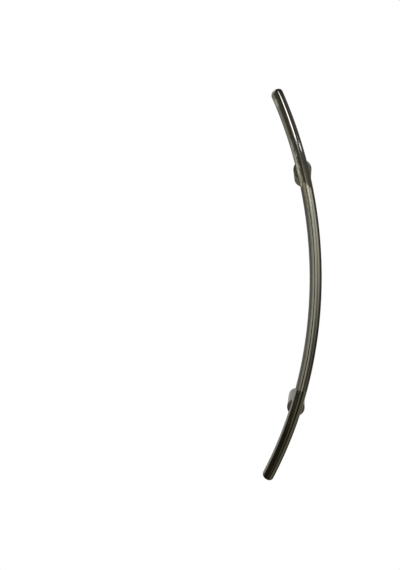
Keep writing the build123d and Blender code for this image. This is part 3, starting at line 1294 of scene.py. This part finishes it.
@dataclass
class Studio:
    """Background, floor, reflectors and lamps. None of it is part of the handle."""

    surround: float = 0.05
    surround_soft: float = 0.02
    opening: float = 160.0
    pole: float = 89.9
    far: float = 12.0
    step: float = 0.2
    rows: int = 33
    cols: int = 65
    lamp_like: float = 5.0
    least_soft: float = 1e-4
    cards: tuple[Card, ...] = (
        Card("upper_front", (-66.0, 0.0), (4.0, 27.0), 0.22, None, 0.20, 0.10),
        Card("upper_middle", (-14.0, 26.0), (4.0, 27.0), 0.13, None, 0.15, 0.10),
        Card("left_band", (-140.0, -52.0), (-4.8, 10.0), 0.95, None, 0.30, 0.05, tint=PLAIN),
        Card("left_edge", (-146.0, -83.0), (-18.0, 8.0), 1.36, 0.92, 0.35, 0.15, tint=PLAIN),
        Card("high_left", (-150.0, -42.0), (12.5, 40.0), 1.60, None, 0.12, 0.15),
        Card("top_left", (-150.0, -44.0), (40.0, 66.0), 2.60, None, 0.15, 0.20),
        Card("horizon", (-60.0, -6.0), (-8.0, 4.4), 1.30, None, 0.12, 0.12),
        Card("upper_right", (8.0, 66.0), (16.0, 30.0), 0.50, None, 0.10, 0.20),
        Card("front_wall", (-1.9, 104.0), (-24.0, 21.0), 0.08, 1.18, 0.03, 0.06),
        Card("low_right", (30.0, 118.0), (-58.0, -26.0), 0.46, None, 0.24, 0.10, 30.0, tint=WARM),
        Card("low_glint", (-13.0, 22.0), (-40.0, -13.0), 0.06, 0.68, 0.50, 0.12),
        Card("top_right", (40.0, 155.0), (22.0, 52.0), 0.28, None, 0.15, 0.10),
        Card("foot_glow", (-9.0, 12.0), (21.6, 23.8), 4.2, None, 0.35, 0.45, tint=COLD),
        Card("soft_box", (7.0, 31.2), (27.0, 38.9), 11.8, 7.8, 0.30, 0.09, 3.4, 6.5, COLD),
        Card("small_box", (46.0, 76.0), (34.3, 36.4), 8.0, None, 0.20, 0.25, 0.0, 3.9, COLD),
    )
    shades: tuple[Shade, ...] = (
        Shade("upper_shade", 0.10, 0.26, 0.19, (1.06, 1.02, 0.74)),
        Shade("lower_shade", -0.30, -0.10, 0.64, (1.03, 1.00, 1.01)),
    )
    shade_half: float = 0.12
    shade_back: float = 0.035
    lamps: tuple[Lamp, ...] = (
        Lamp("key", (-1.2, -1.8, 1.9), 30.0, 1.2),
        Lamp("fill", (1.6, -1.4, 0.4), 12.0, 1.4),
        Lamp("rear", (0.3, 1.9, 1.4), 18.0, 1.4),
    )
    floor_middle: tuple[float, float, float] = (0.0, -1.0, -1.0)
    floor_r: float = 1.54
    floor_fade: float = 0.4
    floor_points: int = 96
    floor_colour: Colour = (0.86, 0.86, 0.85)
    floor_rough: float = 0.9
    daylight: float = 0.45

    def glow(self, card: Card) -> bpy.types.Material:
        """Light of a card: it changes from the lower edge to the upper one and fades out towards all edges.

        Args:
            card: The card.

        Returns:
            The material.
        """
        material, graph = new_material(card.name)
        spread = graph.add("ShaderNodeTexCoord").outputs["UV"]
        across, up, _ = graph.add("ShaderNodeSeparateXYZ", {0: spread}).outputs
        fades = []
        for part, soft in ((across, card.soft_across), (up, card.soft_up)):
            edge = graph.math("MINIMUM", part, graph.math("SUBTRACT", 1.0, part))
            fades.append(graph.ramp(edge, 0.0, max(soft, self.least_soft)))
        rise = 0.0 if card.top_light is None else card.top_light - card.light
        strength = graph.math("MULTIPLY_ADD", up, rise, card.light)
        lamp = graph.add("ShaderNodeEmission", {"Color": (*card.tint, 1.0), "Strength": strength})
        clear = graph.add("ShaderNodeBsdfTransparent")
        inputs = {0: graph.product(*fades), 1: clear.outputs[0], 2: lamp.outputs[0]}
        graph.show(graph.add("ShaderNodeMixShader", inputs))
        material.cycles.emission_sampling = "FRONT_BACK" if card.light > self.lamp_like else "NONE"
        return material

    def hang(self, card: Card, points: np.ndarray, quads: np.ndarray, spread: np.ndarray) -> None:
        """Make a card's object, which shows in reflections alone, and light it.

        Args:
            card: The card.
            points: Array of points x 3.
            quads: Corners of its faces.
            spread: Each point's place on the card, from 0 to 1 across and up.
        """
        mesh = bpy.data.meshes.new(card.name)
        mesh.from_pydata(points.tolist(), [], quads.tolist())
        mesh.uv_layers.new(name="spread").data.foreach_set("uv", spread[quads.ravel()].ravel())
        mesh.materials.append(self.glow(card))
        thing = bpy.data.objects.new(card.name, mesh)
        bpy.context.scene.collection.objects.link(thing)
        thing.visible_camera = thing.visible_diffuse = thing.visible_shadow = False
        thing.visible_transmission = thing.visible_volume_scatter = False

    def dome_patch(self, card: Card, distance: float) -> None:
        """Make a card as a piece of a sphere round the handle.

        A point is distance * (sin(a) cos(e), -cos(a) cos(e), sin(e)), with azimuth a and elevation e on a
        grid; azimuth 0 is towards the camera.

        Args:
            card: The card.
            distance: Radius of the sphere.
        """
        u, v = np.meshgrid(np.linspace(0.0, 1.0, self.cols), np.linspace(0.0, 1.0, self.rows))
        left, right = card.azimuth
        low, high = card.elevation
        a = np.radians(left + u * (right - left) + card.lean * (v - 0.5))
        e = np.radians(low + v * (high - low) + card.tilt * (u - 0.5))
        points = distance * np.stack([np.sin(a) * np.cos(e), -np.cos(a) * np.cos(e), np.sin(e)], -1)
        index = np.arange(self.rows * self.cols).reshape(self.rows, self.cols)
        quads = np.stack([index[:-1, :-1], index[1:, :-1], index[1:, 1:], index[:-1, 1:]], -1)
        self.hang(card, points.reshape(-1, 3), quads.reshape(-1, 4), np.stack([u, v], -1).reshape(-1, 2))

    def build_cards(self) -> None:
        """Build the dark surround, open behind the handle, and the cards, each nearer than the last."""
        room = Card(
            "surround", (-self.opening, self.opening), (-self.pole, self.pole), self.surround, None,
            self.surround_soft, 0.0, tint=DUSKY)
        for place, card in enumerate((room, *self.cards)):
            self.dome_patch(card, self.far - self.step * place)

    def build_shades(self) -> None:
        """Hang a dim panel behind each post, in the place of the shade that the handle throws on a door."""
        corners = np.array([(0.0, 0.0), (1.0, 0.0), (1.0, 1.0), (0.0, 1.0)])
        for shade in self.shades:
            x = self.shade_half * (2.0 * corners[:, 0] - 1.0)
            z = shade.low + corners[:, 1] * (shade.high - shade.low)
            points = np.column_stack([x, np.full(len(corners), self.shade_back), z])
            card = Card(shade.name, (0.0, 0.0), (0.0, 0.0), shade.light, tint=shade.tint)
            self.hang(card, points, np.arange(len(corners))[None, :], corners)

    def build_floor(self) -> None:
        """Build the pale floor: a disc, as far below as a door's foot is, that fades out to its edge."""
        turn = angles_round(self.floor_points)[0]
        disc = np.column_stack([np.cos(turn), np.sin(turn), np.zeros(self.floor_points)])
        points = np.array(self.floor_middle) + self.floor_r * disc
        mesh = bpy.data.meshes.new("floor")
        mesh.from_pydata(points.tolist(), [], [tuple(range(self.floor_points))])
        floor = bpy.data.objects.new("floor", mesh)
        bpy.context.scene.collection.objects.link(floor)
        material, graph = new_material("floor")
        place = graph.add("ShaderNodeTexCoord").outputs["Object"]
        away = graph.vector("DISTANCE", {0: place, 1: self.floor_middle}, "Value")
        graph.principled({
            "Base Color": (*self.floor_colour, 1.0), "Roughness": self.floor_rough,
            "Alpha": graph.ramp(away, self.floor_fade * self.floor_r, self.floor_r, 1.0, 0.0)})
        mesh.materials.append(material)
        floor.visible_glossy = False

    def build_world(self) -> None:
        """White background for the camera, mirrors and glass, and plain grey light for the rest."""
        world = bpy.data.worlds.new("studio")
        world.use_nodes = True
        bpy.context.scene.world = world
        graph = Graph(world.node_tree)
        path = graph.add("ShaderNodeLightPath").outputs
        seen = graph.math("MAXIMUM", path["Is Camera Ray"], path["Is Glossy Ray"])
        seen = graph.math("MAXIMUM", seen, path["Is Transmission Ray"])
        white = graph.add("ShaderNodeBackground", {"Color": WHITE, "Strength": 1.0})
        plain = graph.add("ShaderNodeBackground", {"Color": WHITE, "Strength": self.daylight})
        both = graph.add("ShaderNodeMixShader", {0: seen, 1: plain.outputs[0], 2: white.outputs[0]})
        graph.add("ShaderNodeOutputWorld", {"Surface": both.outputs[0]})

    def build_lamps(self) -> None:
        """Hang the soft lamps, aimed at the handle and unseen by camera and reflections."""
        for lamp in self.lamps:
            data = bpy.data.lights.new(lamp.name, "AREA")
            data.energy, data.size = lamp.power, lamp.size
            thing = bpy.data.objects.new(lamp.name, data)
            aim = -np.array(lamp.spot) / np.linalg.norm(lamp.spot)
            side = np.cross(aim, UP)
            side /= np.linalg.norm(side)
            turn = np.column_stack([side, np.cross(side, aim), -aim])
            thing.matrix_world = Matrix.Translation(lamp.spot) @ Matrix(turn.tolist()).to_4x4()
            thing.visible_camera = thing.visible_glossy = False
            bpy.context.scene.collection.objects.link(thing)

    def build(self) -> None:
        """Build the whole studio."""
        self.build_world()
        self.build_floor()
        self.build_cards()
        self.build_shades()
        self.build_lamps()
        bpy.context.scene.view_settings.view_transform = "Standard"


@dataclass(frozen=True)
class View:
    """Camera before the door, a few degrees off square, with the handle off the picture's centre."""

    eye: tuple[float, float, float] = (0.01086, -0.66961, 0.02788)
    focal_px: float = 362.26
    centre_px: tuple[float, float] = (263.24, 291.09)
    picture_px: tuple[int, int] = (400, 570)
    roll: float = 0.0223
    pitch: float = 0.0506
    yaw: float = -0.1163
    sensor_mm: float = 36.0
    nearest: float = 0.01
    farthest: float = 50.0

    def turn(self) -> np.ndarray:
        """Axes of the camera.

        Yaw turns the level axes, pitch tips them and roll turns the picture: right and up are the tipped axes
        turned by the roll, and back points away from what is seen.

        Returns:
            Matrix with right, up and back as its columns.
        """
        level = np.array([math.cos(self.yaw), -math.sin(self.yaw), 0.0])
        ahead = np.array([math.sin(self.yaw), math.cos(self.yaw), 0.0])
        sight = math.cos(self.pitch) * ahead - math.sin(self.pitch) * UP
        upright = math.sin(self.pitch) * ahead + math.cos(self.pitch) * UP
        right = math.cos(self.roll) * level + math.sin(self.roll) * upright
        up = -math.sin(self.roll) * level + math.cos(self.roll) * upright
        return np.column_stack([right, up, -sight])

    def build(self) -> None:
        """Make the camera and set it as the scene's."""
        data = bpy.data.cameras.new("view")
        tall = max(self.picture_px)
        data.sensor_width = self.sensor_mm
        data.lens = self.sensor_mm * self.focal_px / tall
        data.shift_x = (self.picture_px[0] / 2 - self.centre_px[0]) / tall
        data.shift_y = (self.centre_px[1] - self.picture_px[1] / 2) / tall
        data.clip_start, data.clip_end = self.nearest, self.farthest
        camera = bpy.data.objects.new("view", data)
        camera.matrix_world = Matrix.Translation(self.eye) @ Matrix(self.turn().tolist()).to_4x4()
        bpy.context.scene.collection.objects.link(camera)
        bpy.context.scene.camera = camera


def main() -> None:
    """Build the handle, its studio and the camera in order."""
    logging.basicConfig(level=logging.INFO, format="%(name)s %(message)s")
    finishes = Finishes()
    Bar(finishes).build()
    for end in End:
        Post(finishes, end).build()
        Boss(finishes, end).build()
    GrubScrews(finishes).build()
    Fixings(finishes).build()
    Studio().build()
    View().build()


if __name__ == "__main__":
    main()
